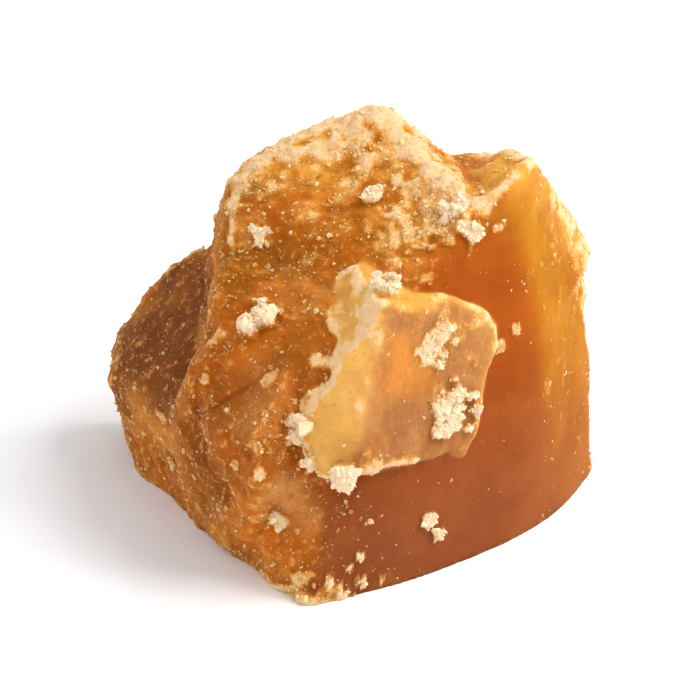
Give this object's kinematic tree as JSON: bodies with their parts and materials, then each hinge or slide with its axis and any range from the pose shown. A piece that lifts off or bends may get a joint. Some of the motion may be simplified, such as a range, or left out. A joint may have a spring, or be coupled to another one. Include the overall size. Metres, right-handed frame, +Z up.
{
  "type": "jaggery block",
  "caption": "Hand-broken lump of amber jaggery with a smooth split face, crumbly crusted breaks and a flat underside.",
  "frame": {"origin": "middle of the bounding box at its underside, on the surface the block rests on", "axes": "+Z up, -Y towards the front with the smooth split and the flake, +X along the longest side, towards the peak"},
  "size_m": [0.0342, 0.0274, 0.0272],
  "materials": {
    "jaggery": "dense amber-brown set sugar, waxy on the smooth split and matt, pale and crumbly on the rough breaks"
  },
  "bodies": {
    "root": {"jaggery_block": "jaggery"}
  },
  "joints": []
}
